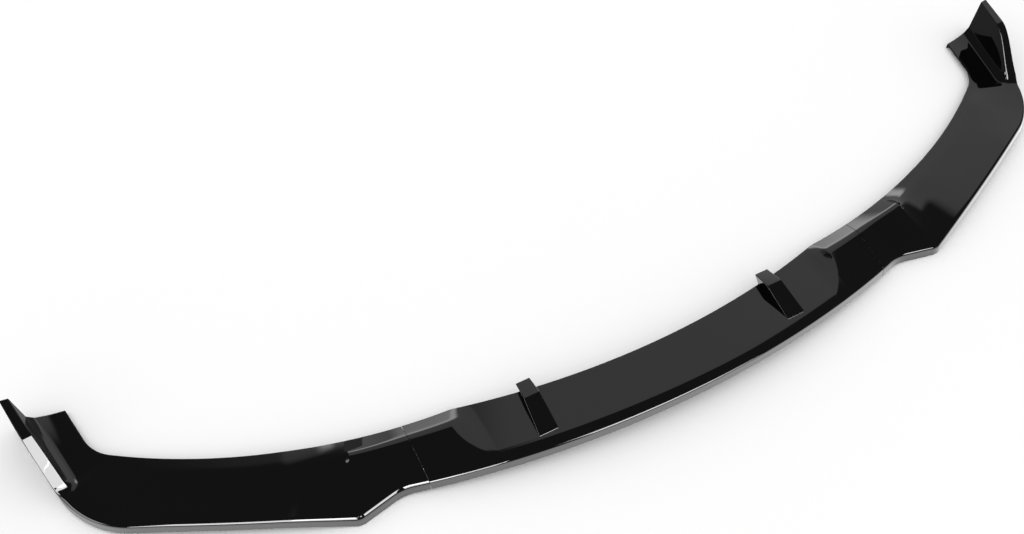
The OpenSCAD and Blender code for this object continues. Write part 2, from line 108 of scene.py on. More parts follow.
class LipHeightSizes(bpy.types.PropertyGroup):
    """Heights and cross-section of the lip"""
    wall_h: length("Wall height", "Height of the front wall", 16)
    wall_lean: length("Wall lean", "How far the front wall leans back", 3)
    winglet_lean: length("Winglet lean", "How far a winglet's outer wall leans in", 0.5)
    arch: length("Arch", "Lift of the lower edge at the centre line", 25)
    notch_lift: length("Notch lift", "Lift of the lower edge at the inner notch corner", 2.5)
    outer_lift: length("Outer lift", "Lift of the lower edge along the outer front edge", 10)
    corner_lift: length("Corner lift", "Lift of the lower edge at the outer front corner", 3)
    lift_run: length("Lift run", "Length over which the outer lower edge lifts", 120)
    mid_rear_z: length("Centre rear height", "Height of the rear edge on the centre line", 37.5)
    side_rear_z: length("Side rear height", "Height of the rear edge along the sides", 22)
    corner_rear_z: length("Rear corner height", "Height of the rear edge at its corner", 13)
    end_rear_z: length("Rear end height", "Height of the rear edge at the rear end", 9)
    crest_in_x: length("Crest start", "Centre line to the inner end of the crest", 331)
    band_w: length("Band width", "Width of the rear band at the seam", 26)
    peak_band_w: length("Peak band width", "Width of the rear band at the crest's peak", 31)
    outer_band_w: length("Outer band width", "Width of the rear band along the outer part", 22)
    crest_h: length("Crest height", "Height of the crest over the rear edge at the seam", 12)
    peak_h: length("Peak height", "Height of the crest over the rear edge at its peak", 20)
    outer_crest_h: length("Outer crest height", "Height of the crest along the outer part", 4)
    peak_fade: length("Peak fade", "Length over which the peak fades outwards", 30)
    ramp_x: length("Ramp start", "Centre line to the inner end of the scoop's ramp", 290)
    roll_w: length("Roll width", "Width of the rolled strip behind the front edge", 17)
    roll_h: length("Roll height", "Rise of the rolled strip", 2)
    winglet_h: length("Winglet height", "Rise of a winglet's top over the front wall", 61)
    climb_len: length("Climb length", "Length over which a winglet's top edge climbs", 104)
    climb_lead: length("Climb lead", "How far before the corner's end the climb starts", 24)
    rim_w: length("Rim width", "Width of a winglet's rim at the rear end", 13)
    rim_start_w: length("Rim start width", "Width of a winglet's rim where it starts", 16.5)
    rim_drop: length("Rim drop", "Drop of the rim's inner edge", 0)
    foot_z: length("Foot height", "Height of the foot of a winglet's inner face", 22)
    groove_z: length("Groove height", "Height of the groove inside that foot", 12.5)
    step_w: length("Step width", "Width of the step between foot and groove", 9.5)
    skin: length("Skin", "Wall thickness of the moulded shell", 3)
    seam_x: length("Seam", "Centre line to a seam", 395)
    flange_t: length("Flange", "Thickness of the joint flanges and rear end walls", 3)
    flange_z: length("Flange height", "Height of the joint flanges' lower edge", 8)
    bolt_front: length("Front bolt", "Front bolt behind the front edge", 28)
    bolt_pitch: length("Bolt pitch", "Distance between the two bolts of a seam", 46)
    bolt_z: length("Bolt height", "Height of the bolts", 16.5)
    hole_d: length("Bolt hole", "Diameter of the bolt holes", 5.5)
    fix_d: length("Fixing hole", "Diameter of the fixing holes", 5)
    fix_x: length("Fixing hole place", "Centre line to a fixing hole", 486)
    fix_in: length("Fixing hole inset", "Fixing hole in front of the rear edge", 41)
    fin_x: length("Fin place", "Centre line to a fin's inner face", 198)
    fin_w: length("Fin width", "Width of a fin at its rear end", 23)
    fin_foot_w: length("Fin foot width", "Width of a fin at its foot", 31)
    fin_foot_y: length("Fin foot", "A fin's foot behind the front edge", 41.5)
    fin_bend_y: length("Fin bend", "A fin's bend behind the front edge", 101)
    fin_wall: length("Fin wall", "Wall of a fin, which is hollow from below", 2.5)
    fin_h: length("Fin height", "Height of a fin's bend over the scoop", 17.5)
    fin_over: length("Fin overhang", "How far a fin stands out behind the rear edge", 11)
    fin_rear_h: length("Fin rear height", "Height of a fin's rear top over the rear edge", 10)


class LipEdgeSizes(bpy.types.PropertyGroup):
    """Rounding of the moulded edges"""
    lower_round: length("Lower edge", "Rounding of the front wall's lower edge", 0.6)
    front_round: length("Front edge", "Rounding of the front wall's upper edge", 4.5)
    winglet_round: length("Winglet edge", "Rounding of a winglet's outer upper edge", 1.5)
    rim_round: length("Rim edge", "Rounding of the rim's inner edge", 1)
    foot_round: length("Foot fillet", "Fillet at the foot of the winglet's inner face", 2)
    groove_round: length("Groove fillet", "Fillet of the groove", 3)
    crest_round: length("Crest", "Rounding of the crest", 7)
    roll_round: length("Roll", "Rounding where the rolled strip meets the scoop", 5)
    rear_round: length("Rear edge", "Rounding of the rear edge", 0.8)
    seam_round: length("Seam edge", "Rounding of the edges that meet at a seam", 0.15)
    seam_gap: length("Seam gap", "Gap between two sections at a seam", 0.7)
    fin_round: length("Fin edge", "Rounding of a fin's edges", 1.5)


class LipLooks(bpy.types.PropertyGroup):
    """Colours and camera"""
    abs_black: hex_colour("ABS black", "Colour of the gloss black ABS", "#050506")
    zinc: hex_colour("Zinc", "Colour of the bright zinc plate", "#c4c6c9")
    camera_place: bpy.props.FloatVectorProperty(
        name="Camera place", description="Where the camera stands", subtype="TRANSLATION",
        default=(-0.5987, -0.7982, 1.518))
    camera_azimuth: turn("Camera azimuth", "Heading of the camera, 0 looking along +Y", -27.367)
    camera_elevation: turn("Camera elevation", "Height of the camera over the horizon", 55.41)
    camera_lens: length("Camera lens", "Focal length of the camera", 40.43)


class StageLight(bpy.types.PropertyGroup):
    """The floor, the softboxes in front, and the room as the gloss sees it. A panel of the room is
    given by its heading, 0 being straight back, and by its edges at one metre of distance"""
    floor_size: length("Floor size", "Side of the square floor", 12000)
    # Painted light on the floor, seen only by gloss: a glow that is bright in front of the lip and falls
    # off behind it, with painted shade near the lip.
    floor_front_level: level("Floor in front", "Brightness of the floor in front of the lip", 2.6)
    floor_rear_level: level("Floor behind", "Brightness of the floor behind the lip", 0.2)
    floor_front_y: length("Front of the fall", "Where the floor's brightness starts to fall", -20)
    floor_rear_y: length("Rear of the fall", "Where the floor's brightness stops falling", 110)
    floor_shade: length("Floor shade", "How near to the lip the floor is shaded", 60)
    ceiling_level: level("Ceiling", "Brightness of the ceiling", 0.1)
    wall_level: level("Rear wall", "Brightness of the rear wall", 0.64)
    wall_head: turn("Wall heading", "Heading of the rear wall", 15)
    wall_across: span("Wall across", "Left and right edge of the rear wall", -0.15, 1.6)
    wall_heights: span("Wall heights", "Lower and upper edge of the rear wall", -3, 1.7)
    head_across: span("Header across", "Left and right edge of the header over the rear wall", -0.03, 1.15)
    head_heights: span("Header heights", "Lower and upper edge of that header", 1.7, 2.5)
    wall_soft: level("Wall softness", "Softness of the rear wall's edges", 0.12)
    lamp_level: level("Rear lamp", "Brightness of the lamp before the rear wall", 3)
    lamp_across: span("Lamp across", "Left and right edge of the rear lamp", -0.12, 0.45)
    lamp_heights: span("Lamp heights", "Lower and upper edge of the rear lamp", 0.25, 0.5)
    lamp_soft: level("Lamp softness", "Softness of the rear lamp's edges", 0.09)
    side_level: level("Side lamp", "Brightness of the lamp on the left", 7)
    side_head: turn("Side heading", "Heading of the lamp on the left", -85)
    side_across: span("Side across", "Left and right edge of the side lamp", -0.4, 0.3)
    side_heights: span("Side heights", "Lower and upper edge of the side lamp", 0.2, 0.6)
    side_soft: level("Side softness", "Softness of the side lamp's edges", 0.06)
    softbox_y: length("Softbox distance", "Where the front softboxes stand", -2200)
    softbox_level: level("Softbox", "Brightness of the front softboxes", 16)
    left_box: span("Left softbox", "Left and right edge of the left softbox", -3.9, -0.72)
    right_box: span("Right softbox", "Left and right edge of the right softbox", 0.03, 1.6)
    near_box_y: length("Near softbox distance", "Where the near softbox stands", -500)
    near_box: span("Near softbox", "Left and right edge of the near softbox", -0.83, -0.5)
    near_box_z: span("Near softbox heights", "Lower and upper edge of the near softbox", 0.45, 0.95)
    softbox_z: span("Softbox heights", "Lower and upper edge of the softboxes", 1.0, 6.0)


# Plan, heights and cross-sections

def mix(a, b, t):
    return a + (b - a) * t


def clamp01(t):
    return min(1.0, max(0.0, t))


def smooth(t):
    t = clamp01(t)
    return t * t * (3 - 2 * t)


def ahead(h):
    return np.array([cos(h), sin(h)])


def leftward(h):
    return np.array([-sin(h), cos(h)])


def arc_point(p, h, r, a):
    """The point reached from p by an arc of radius r that starts at heading h and turns by a."""
    return p + r * np.array([sin(h + a) - sin(h), cos(h) - cos(h + a)])


def bend(p0, p1, p2, t):
    return (1 - t) ** 2 * p0 + 2 * t * (1 - t) * p1 + t * t * p2


def soft_corner(a, at, z, before, after, reach):
    """Height at a of two slopes that meet at (at, z), rounded within reach of their corner."""
    d = a - at
    if d <= -reach:
        return z + before * d
    if d >= reach:
        return z + after * d
    return z + before * d + (after - before) * (d + reach) ** 2 / (4 * reach)


class LipShape:
    """The right half of the lip. A station u is the distance from the centre line up to the notch,
    and beyond the notch it grows with the length of the front edge."""

    FOLD_RUN = 0.026
    FOOT_LEAN = 0.0045
    FOOT_GAP = 0.002
    PEAK_IN = 0.029
    CORNER_IN = 0.050
    RAMP_FRONT = 0.007
    RAMP_MARGIN = 0.010
    RAMP_FOOT = 0.4
    PAIR_SPREAD = 0.025
    PAIR_SAMPLES = 9
    BLADE_STEPS = 64
    ROUND_MARGIN = 1.2
    MIN_STEP = 0.0006

    def __init__(self, plan, heights, edges):
        for group in (plan, heights, edges):
            for name in group.__annotations__:
                setattr(self, name, getattr(group, name))
        self.notch_in = self.centre_front(self.notch_in_x)
        self.notch_out = np.array([self.notch_out_x, self.notch_in[1] - self.notch_step])
        self.corner_len = self.corner_r * self.corner_turn
        self.outer_r = self.outer_len / self.outer_turn
        self.u_corner = self.notch_out_x + self.outer_len
        self.u_winglet = self.u_corner + self.corner_len
        self.u_end = self.u_winglet + self.winglet_len
        corner_head = self.outer_head + self.outer_turn
        self.corner_start = arc_point(self.notch_out, self.outer_head, self.outer_r, self.outer_turn)
        self.corner_end = arc_point(self.corner_start, corner_head, self.corner_r, self.corner_turn)
        self.corner_head = corner_head
        self.winglet_head = corner_head + self.corner_turn
        self.roll_a = self.wall_lean + self.roll_w
        self.lay_rear_edge()
        self.y_shift = -self.front(self.u_end)[1] / 2

    def lay_rear_edge(self):
        self.v_scoop = self.mid_rear_r * asin(self.scoop_x / self.mid_rear_r)
        sag = self.mid_rear_r - sqrt(self.mid_rear_r ** 2 - self.scoop_x ** 2)
        self.scoop_corner = np.array([self.scoop_x, self.mid_depth + sag])
        self.end_head = self.winglet_head - self.end_spread
        rear_end = (self.corner_end + (self.winglet_len - self.end_back) * ahead(self.winglet_head)
                    + self.end_w * leftward(self.winglet_head))
        side_centre = self.scoop_corner + self.side_rear_r * leftward(self.side_rear_head)
        to_end = rear_end + self.rear_corner_r * leftward(self.end_head) - side_centre
        gap = self.side_rear_r - self.rear_corner_r
        off = to_end @ leftward(self.end_head)
        rear_end_len = to_end @ ahead(self.end_head) + sqrt(gap * gap - off * off)
        to_corner = to_end - rear_end_len * ahead(self.end_head)
        side_turn = atan2(to_corner[0], -to_corner[1]) - self.side_rear_head
        self.bend_head = self.side_rear_head + side_turn
        corner_turn = self.end_head - self.bend_head
        self.side_rear_len = self.side_rear_r * side_turn
        self.rear_corner_len = self.rear_corner_r * corner_turn
        self.v_bend = self.v_scoop + self.side_rear_len
        self.v_end = self.v_bend + self.rear_corner_len + rear_end_len
        self.rear_bend = arc_point(self.scoop_corner, self.side_rear_head, self.side_rear_r, side_turn)
        self.rear_straight = arc_point(self.rear_bend, self.bend_head, self.rear_corner_r, corner_turn)
        self.pair_u = [self.seam_x, self.notch_out_x, self.u_corner, self.u_winglet, self.u_end]
        self.pair_v = [self.side_v(self.seam_x), self.side_v(self.notch_out_x - self.PEAK_IN),
                       self.side_v(self.corner_start[0] - self.CORNER_IN), self.v_bend, self.v_end]

    def centre_front(self, x):
        return np.array([x, self.centre_r - sqrt(self.centre_r ** 2 - x * x)])

    def notch_line(self, x):
        t = (x - self.notch_in_x) / (self.notch_out_x - self.notch_in_x)
        return mix(self.notch_in, self.notch_out, t)

    def outer_front(self, s):
        if s < self.outer_len:
            return arc_point(self.notch_out, self.outer_head, self.outer_r, s / self.outer_r)
        s -= self.outer_len
        if s < self.corner_len:
            return arc_point(self.corner_start, self.corner_head, self.corner_r, s / self.corner_r)
        return self.corner_end + (s - self.corner_len) * ahead(self.winglet_head)

    def front(self, u):
        inner, outer = self.notch_in_ease, self.notch_out_ease
        if u < self.notch_in_x - inner:
            return self.centre_front(u)
        if u < self.notch_in_x + inner:
            return bend(self.centre_front(self.notch_in_x - inner), self.notch_in,
                        self.notch_line(self.notch_in_x + inner), (u - self.notch_in_x) / (2 * inner) + 0.5)
        if u < self.notch_out_x - outer:
            return self.notch_line(u)
        if u < self.notch_out_x + outer:
            return bend(self.notch_line(self.notch_out_x - outer), self.notch_out,
                        self.outer_front(outer), (u - self.notch_out_x) / (2 * outer) + 0.5)
        return self.outer_front(u - self.notch_out_x)

    def rear_edge(self, v):
        if v < self.v_scoop:
            return arc_point(np.array([0, self.mid_depth]), 0, self.mid_rear_r, v / self.mid_rear_r)
        if v < self.v_bend:
            return arc_point(self.scoop_corner, self.side_rear_head, self.side_rear_r,
                             (v - self.v_scoop) / self.side_rear_r)
        if v < self.v_bend + self.rear_corner_len:
            return arc_point(self.rear_bend, self.bend_head, self.rear_corner_r,
                             (v - self.v_bend) / self.rear_corner_r)
        return self.rear_straight + (v - self.v_bend - self.rear_corner_len) * ahead(self.end_head)

    def side_v(self, x):
        return self.v_scoop + self.side_rear_r * (
            asin(sin(self.side_rear_head) + (x - self.scoop_x) / self.side_rear_r) - self.side_rear_head)

    def rear_v(self, u):
        """Which rear point a front station is joined to, with its changes of pace spread out."""
        if u < self.scoop_x:
            return self.mid_rear_r * asin(u / self.mid_rear_r)
        if u <= self.seam_x:
            return self.side_v(u)
        spread = min(self.PAIR_SPREAD, u - self.seam_x, self.u_end - u)
        near = u + spread * np.linspace(-1, 1, self.PAIR_SAMPLES)
        return float(np.interp(near, self.pair_u, self.pair_v).mean())

    def low_z(self, u):
        if u < self.notch_in_x:
            return mix(self.arch, self.notch_lift, (u / self.notch_in_x) ** 2)
        if u < self.notch_out_x:
            return mix(self.notch_lift, 0, (u - self.notch_in_x) / (self.notch_out_x - self.notch_in_x))
        if u < self.u_winglet:
            lift = self.outer_lift * sin(pi / 2 * clamp01((u - self.notch_out_x) / self.lift_run))
            return mix(lift, self.corner_lift,
                       smooth((u - self.u_corner + self.lift_run / 2) / self.lift_run))
        return mix(self.corner_lift, 0, (u - self.u_winglet) / self.winglet_len)

    def wall_top(self, u):
        return (self.low_z(u) if u < self.u_winglet else self.corner_lift) + self.wall_h

    def lean(self, u):
        return mix(self.wall_lean, self.winglet_lean,
                   smooth((u - self.u_winglet + self.climb_lead) / self.climb_lead))

    def top_z(self, u):
        climb = self.winglet_h * smooth((u - self.u_winglet + self.climb_lead) / self.climb_len)
        return self.wall_top(u) + climb

    def rear_z(self, v):
        if v < self.v_scoop:
            return mix(self.mid_rear_z, self.side_rear_z, (v / self.v_scoop) ** 2)
        if v < self.v_bend:
            return mix(self.side_rear_z, self.corner_rear_z,
                       clamp01(2 * (v - self.v_scoop) / self.side_rear_len - 1))
        return mix(self.corner_rear_z, self.end_rear_z, (v - self.v_bend) / (self.v_end - self.v_bend))

    def station(self, u):
        """Everything about one station that its cross-section needs."""
        v = self.rear_v(u)
        front, rear = self.front(u), self.rear_edge(v)
        depth = float(np.linalg.norm(rear - front))
        if u < self.notch_out_x:
            t = smooth((u - self.seam_x) / (self.notch_out_x - self.seam_x))
            band, crest_h = mix(self.band_w, self.peak_band_w, t), mix(self.crest_h, self.peak_h, t)
        else:
            t = exp(-(u - self.notch_out_x) / self.peak_fade)
            outer_h = self.outer_crest_h * (1 - smooth((u - self.u_corner) / self.corner_len))
            band, crest_h = mix(self.outer_band_w, self.peak_band_w, t), mix(outer_h, self.peak_h, t)
        return {"u": u, "front": front, "across": (rear - front) / depth, "depth": depth,
                "low": self.low_z(u), "top": self.top_z(u), "wall_top": self.wall_top(u),
                "lean": self.lean(u), "rear_z": self.rear_z(v), "crest_a": depth - band,
                "crest_z": self.rear_z(v) + crest_h, "band": band}

    def side_z(self, s, a):
        rise = (s["crest_z"] - s["wall_top"]) / (s["crest_a"] - s["lean"])
        fall = (s["rear_z"] - s["crest_z"]) / s["band"]
        return soft_corner(a, s["crest_a"], s["crest_z"], rise, fall, self.crest_round)

    def scoop_z(self, s, a):
        at = s["wall_top"] + self.roll_h
        slope = (s["rear_z"] - at) / (s["depth"] - self.roll_a)
        return soft_corner(a, self.roll_a, at, self.roll_h / self.roll_w, slope, self.roll_round)

    def ramp(self, s, a):
        """0 in the scoop and 1 beside it, along a ramp whose foot curves forwards."""
        c = s["crest_a"]
        if a > c:
            edge = mix(self.crest_in_x, self.scoop_x, (a - c) / s["band"])
        else:
            t = ((c - a) / (c - self.wall_lean - self.RAMP_FRONT)) ** 2
            edge = mix(self.ramp_x, self.crest_in_x, max(0, 1 - t))
        x = s["front"][0] + a * s["across"][0]
        if x <= self.ramp_x:
            return 0.0
        if x >= edge:
            return 1.0
        t, foot = (x - self.ramp_x) / (edge - self.ramp_x), self.RAMP_FOOT
        return (t * t / (2 * foot) if t < foot else t - foot / 2) / (1 - foot / 2)

    def blade_z(self, s, a):
        if s["u"] < self.ramp_x - self.RAMP_MARGIN:
            return self.scoop_z(s, a)
        if s["u"] > self.crest_in_x + self.RAMP_MARGIN:
            return self.side_z(s, a)
        return mix(self.scoop_z(s, a), self.side_z(s, a), self.ramp(s, a))

    def side_corners(self, s):
        """The outside of a side section's cross-section: distance behind the front edge, height,
        rounding, and the points to add before the next corner."""
        u, lean, top = s["u"], s["lean"], s["top"]
        fold = smooth((u - self.u_winglet + self.FOLD_RUN) / self.FOLD_RUN)
        rim = mix(self.rim_start_w, self.rim_w, clamp01((u - self.u_winglet) / self.winglet_len)) + lean
        foot = rim + self.FOOT_LEAN
        groove = foot + self.step_w

        def blade(a):
            return mix(s["wall_top"], s["crest_z"], (a - lean) / (s["crest_a"] - lean))

        rim_z = top - self.rim_drop
        return [
            (0.0, s["low"], self.lower_round, 5),
            (lean, top, mix(self.front_round, self.winglet_round, fold), 3),
            (rim, mix(blade(rim), rim_z, fold), self.rim_round, 9),
            (foot, mix(blade(foot), min(self.foot_z, rim_z - self.FOOT_GAP), fold), self.foot_round, 2),
            (groove, mix(blade(groove), self.groove_z, fold), self.groove_round, 9),
            (s["crest_a"], s["crest_z"], self.crest_round, 4),
            (s["depth"], s["rear_z"], self.rear_round, 0),
        ]

    def centre_corners(self, s):
        """The outside of the centre section's cross-section, which the scoop and its ramps curve."""
        lean, depth = s["lean"], s["depth"]
        start = lean + self.ROUND_MARGIN * self.front_round
        stop = depth - self.ROUND_MARGIN * self.rear_round
        inner = np.linspace(start, stop, self.BLADE_STEPS + 1).tolist()
        return ([(0.0, s["low"], self.lower_round, 5), (lean, s["top"], self.front_round, 0)]
                + [(a, self.blade_z(s, a), 0, 0) for a in inner]
                + [(depth, s["rear_z"], self.rear_round, 0)])

    def under_corners(self, s, outside, floor_z):
        """The underside that belongs to an outside: the same line moved in by the skin,
        or a straight sole at a given height where a wall crosses the shell."""
        p = np.array([c[:2] for c in outside])
        step = p[1:] - p[:-1]
        step /= np.linalg.norm(step, axis=1)[:, None]
        inward = np.stack([step[:, 1], -step[:, 0]], axis=1)
        n0 = np.concatenate([inward[:1], inward])
        n1 = np.concatenate([inward, inward[-1:]])
        q = p + self.skin * (n0 + n1) / (1 + (n0 * n1).sum(1))[:, None]
        q[0, 1] = p[0, 1]
        if floor_z is not None:
            q = np.array([[max(a, self.skin + i * self.MIN_STEP), floor_z] for i, (a, z) in enumerate(q)])
        return [(a, z, self.lower_round / 2, 1) for a, z in q]


MOST_REACH = 0.45


def rounded(corners, arc_steps):
    """A closed line with its corners rounded by true arcs, always with the same count of points.
    An arc's reach is the length that it takes off each side, so a straight corner keeps even steps."""
    p = np.array([c[:2] for c in corners], float)
    step = np.roll(p, -1, axis=0) - p
    size = np.linalg.norm(step, axis=1)
    way = step / size[:, None]
    reach = np.array([min(c[2], MOST_REACH * size[i - 1], MOST_REACH * size[i])
                      for i, c in enumerate(corners)])
    line = []
    for i, (a, z, want, fill) in enumerate(corners):
        leave = p[i] + reach[i] * way[i]
        if want > 0:
            enter = p[i] - reach[i] * way[i - 1]
            weight = sqrt(max(0.0, (1 + way[i - 1] @ way[i]) / 2))
            for k in range(arc_steps + 1):
                t = k / arc_steps
                b = ((1 - t) ** 2, 2 * t * (1 - t) * weight, t * t)
                line.append((b[0] * enter + b[1] * p[i] + b[2] * leave) / sum(b))
        else:
            line.append(p[i])
        after = (i + 1) % len(p)
        arrive = p[after] - reach[after] * way[i]
        line.extend(mix(leave, arrive, k / (fill + 1)) for k in range(1, fill + 1))
    return np.array(line)


def shrunk(line, amount):
    """A closed line moved inwards by a small amount, for the rounded edge at a section's end."""
    way = np.roll(line, -1, axis=0) - np.roll(line, 1, axis=0)
    way /= np.linalg.norm(way, axis=1)[:, None]
    return line + amount * np.stack([way[:, 1], -way[:, 0]], axis=1)


# Meshes

ARC_STEPS = 6
INSIDE_COUNT = 12
WALL_DRAFT = 0.00005
FIN_TIP = 0.0005
FIN_ROOT = 0.001
BLADE_STEP = 0.005
CURVE_STEP = 0.003
FOLD_STEP = 0.0015
SCOOP_STEP = 0.006
RAMP_STEP = 0.002
BEVEL_STEPS = 4
HOLE_SIDES = 48
SHARP_ANGLE = radians(40)


def ring_points(shape, s, centre, floor_z, inset):
    """One cross-section as points in the frame of the right half."""
    if centre:
        outside = shape.centre_corners(s)
        coarse = outside[:2] + outside[2:-1:shape.BLADE_STEPS // INSIDE_COUNT] + outside[-1:]
    else:
        outside = shape.side_corners(s)
        coarse = outside
    under = shape.under_corners(s, coarse, floor_z)
    line = rounded(outside + under[::-1], ARC_STEPS)
    if inset:
        line = shrunk(line, inset)
    flat = s["front"] + line[:, :1] * s["across"]
    return np.column_stack([flat[:, 0], flat[:, 1] + shape.y_shift, line[:, 1]])


def loft(name, rings):
    """A closed mesh through rings of equal counts, with flat ends."""
    n = len(rings[0])
    mesh = bpy.data.meshes.new(name)
    faces = [(j * n + i, (j + 1) * n + i, (j + 1) * n + (i + 1) % n, j * n + (i + 1) % n)
             for j in range(len(rings) - 1) for i in range(n)]
    faces.append(tuple(range(n)))
    faces.append(tuple(range((len(rings) - 1) * n, len(rings) * n))[::-1])
    mesh.from_pydata(np.concatenate(rings).tolist(), [], faces)
    mesh.validate()
    return mesh


def spaced(start, stop, step):
    count = max(1, round((stop - start) / step))
    return [start + (stop - start) * i / count for i in range(count)]


def end_insets(rounding):
    """Distances from an end and the insets there that round its edge."""
    angles = [0, pi / 6, pi / 3, pi / 2]
    return [(rounding * (1 - cos(a)), rounding * (1 - sin(a))) for a in angles]


def side_mesh(shape):
    """The right section without its holes, as a lofted shell with a flange and a rear end wall."""
    start = shape.seam_x + shape.seam_gap / 2
    flange_end = shape.seam_x + shape.flange_t
    notch_in, notch_in_ease = shape.notch_in_x, shape.notch_in_ease
    notch_out, notch_out_ease = shape.notch_out_x, shape.notch_out_ease
    stops = [(flange_end, notch_in - notch_in_ease, BLADE_STEP),
             (notch_in - notch_in_ease, notch_in + notch_in_ease, CURVE_STEP),
             (notch_in + notch_in_ease, notch_out - notch_out_ease, BLADE_STEP),
             (notch_out - notch_out_ease, notch_out + notch_out_ease, FOLD_STEP),
             (notch_out + notch_out_ease, shape.u_corner, BLADE_STEP),
             (shape.u_corner, shape.u_winglet - shape.FOLD_RUN, CURVE_STEP),
             (shape.u_winglet - shape.FOLD_RUN, shape.u_winglet, FOLD_STEP),
             (shape.u_winglet, shape.u_end - shape.flange_t, CURVE_STEP)]
    wall_start = shape.u_end - shape.flange_t
    rings = [(start + d, shape.flange_z, inset) for d, inset in end_insets(shape.seam_round)]
    rings.append((flange_end - WALL_DRAFT, shape.flange_z, 0))
    rings += [(u, None, 0) for a, b, step in stops for u in spaced(a, b, step)]
    rings += [(wall_start, None, 0), (wall_start + WALL_DRAFT, shape.low_z(wall_start), 0)]
    rings += [(shape.u_end - d, shape.low_z(shape.u_end - d), inset)
              for d, inset in end_insets(shape.lower_round)[::-1]]
    return loft("right_section", [ring_points(shape, shape.station(u), False, floor_z, inset)
                                  for u, floor_z, inset in rings])


def centre_mesh(shape):
    """The centre section without its fins, lofted from one seam to the other."""
    stop = shape.seam_x - shape.seam_gap / 2
    flange_start = shape.seam_x - shape.flange_t
    before_ramp = shape.ramp_x - 2 * shape.RAMP_MARGIN
    half = [(u, None, 0) for u in spaced(0, before_ramp, SCOOP_STEP)]
    half += [(u, None, 0) for u in spaced(before_ramp, flange_start, RAMP_STEP)]
    half += [(flange_start, None, 0), (flange_start + WALL_DRAFT, shape.flange_z, 0)]
    half += [(stop - d, shape.flange_z, inset) for d, inset in end_insets(shape.seam_round)[::-1]]
    right = [ring_points(shape, shape.station(u), True, floor_z, inset) for u, floor_z, inset in half]
    left = [ring * (-1, 1, 1) for ring in right[:0:-1]]
    return loft("centre_section", left + right)


def offset_inwards(line, amount):
    """A clockwise closed outline moved inwards."""
    step = np.roll(line, -1, axis=0) - line
    step /= np.linalg.norm(step, axis=1)[:, None]
    inward = np.stack([step[:, 1], -step[:, 0]], axis=1)
    before = np.roll(inward, 1, axis=0)
    return line + amount * (before + inward) / (1 + (before * inward).sum(1))[:, None]


def fin_bodies(shape, wall, sole, rounding):
    """Both fins as closed bodies, or their hollows when a wall is given."""
    middle = shape.fin_x + shape.fin_w / 2
    s = shape.station(middle)
    front_y = s["front"][1]
    rear_y = shape.rear_edge(shape.rear_v(middle))[1]
    foot_z = shape.blade_z(s, shape.fin_foot_y - front_y)
    bend_z = shape.blade_z(s, shape.fin_bend_y - front_y)
    rear_top_y = rear_y + shape.fin_over
    side = np.array([(shape.fin_foot_y, foot_z + FIN_TIP), (shape.fin_bend_y, bend_z + shape.fin_h),
                     (rear_top_y, s["rear_z"] + shape.fin_rear_h),
                     (rear_y - FIN_ROOT, s["rear_z"] - sole), (shape.fin_foot_y, foot_z - sole)])
    side = offset_inwards(side, wall)
    run = rear_top_y - shape.fin_foot_y
    bm = bmesh.new()
    for mirror in (1, -1):
        inner, outer = [], []
        for y, z in side:
            far = mix(shape.fin_foot_w, shape.fin_w, (y - shape.fin_foot_y) / run) - wall
            inner.append(bm.verts.new((mirror * (shape.fin_x + wall), y + shape.y_shift, z)))
            outer.append(bm.verts.new((mirror * (shape.fin_x + far), y + shape.y_shift, z)))
        bm.faces.new(inner)
        bm.faces.new(outer[::-1])
        for i in range(len(side)):
            j = (i + 1) % len(side)
            bm.faces.new((inner[i], outer[i], outer[j], inner[j]))
    bmesh.ops.recalc_face_normals(bm, faces=bm.faces)
    if rounding:
        top = [e for e in bm.edges if min(v.co.z for v in e.verts) > s["rear_z"] - 2 * sole]
        bmesh.ops.bevel(bm, geom=top, offset=rounding, segments=BEVEL_STEPS, profile=0.5, affect="EDGES",
                        clamp_overlap=True)
    return finished(bm, "fins")


def finished(bm, name):
    mesh = bpy.data.meshes.new(name)
    bm.to_mesh(mesh)
    bm.free()
    return mesh


def rods(name, places, diameter, height):
    """Rods that cut the round holes. Each place is a matrix at a rod's middle."""
    bm = bmesh.new()
    for place in places:
        bmesh.ops.create_cone(bm, cap_ends=True, segments=HOLE_SIDES, radius1=diameter / 2,
                              radius2=diameter / 2, depth=height, matrix=place)
    return finished(bm, name)


def bolt_places(shape, sides):
    front_y = shape.front(shape.seam_x)[1] + shape.y_shift
    lying = Matrix.Rotation(pi / 2, 4, "Y")
    return [Matrix.Translation((side * shape.seam_x, front_y + shape.bolt_front + i * shape.bolt_pitch,
                                shape.bolt_z)) @ lying
            for side in sides for i in range(2)]


def carve(mesh, tool, operation):
    """A mesh with a closed tool joined to it or cut out of it."""
    piece = bpy.data.objects.new("piece", mesh)
    other = bpy.data.objects.new("tool", tool)
    for item in (piece, other):
        bpy.context.scene.collection.objects.link(item)
    modifier = piece.modifiers.new("carve", "BOOLEAN")
    modifier.operation = operation
    modifier.solver = "EXACT"
    modifier.object = other
    bpy.context.view_layer.update()
    depsgraph = bpy.context.evaluated_depsgraph_get()
    result = bpy.data.meshes.new_from_object(piece.evaluated_get(depsgraph))
    result.name = mesh.name
    bpy.data.objects.remove(piece)
    bpy.data.objects.remove(other)
    return result


def add_piece(name, mesh, node):
    """Puts a mesh in the scene as the piece that stands for a node."""
    mesh.shade_smooth()
    mesh.set_sharp_from_angle(angle=SHARP_ANGLE)
    piece = bpy.data.objects.new(name, mesh)
    normals = piece.modifiers.new("flat faces", "WEIGHTED_NORMAL")
    normals.keep_sharp = True
    bpy.context.scene.collection.objects.link(piece)
    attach(piece, "root")
    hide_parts(node)
    return piece


def shape_now():
    scene = bpy.context.scene
    return LipShape(scene.lip_plan, scene.lip_heights, scene.lip_edges)


# Materials

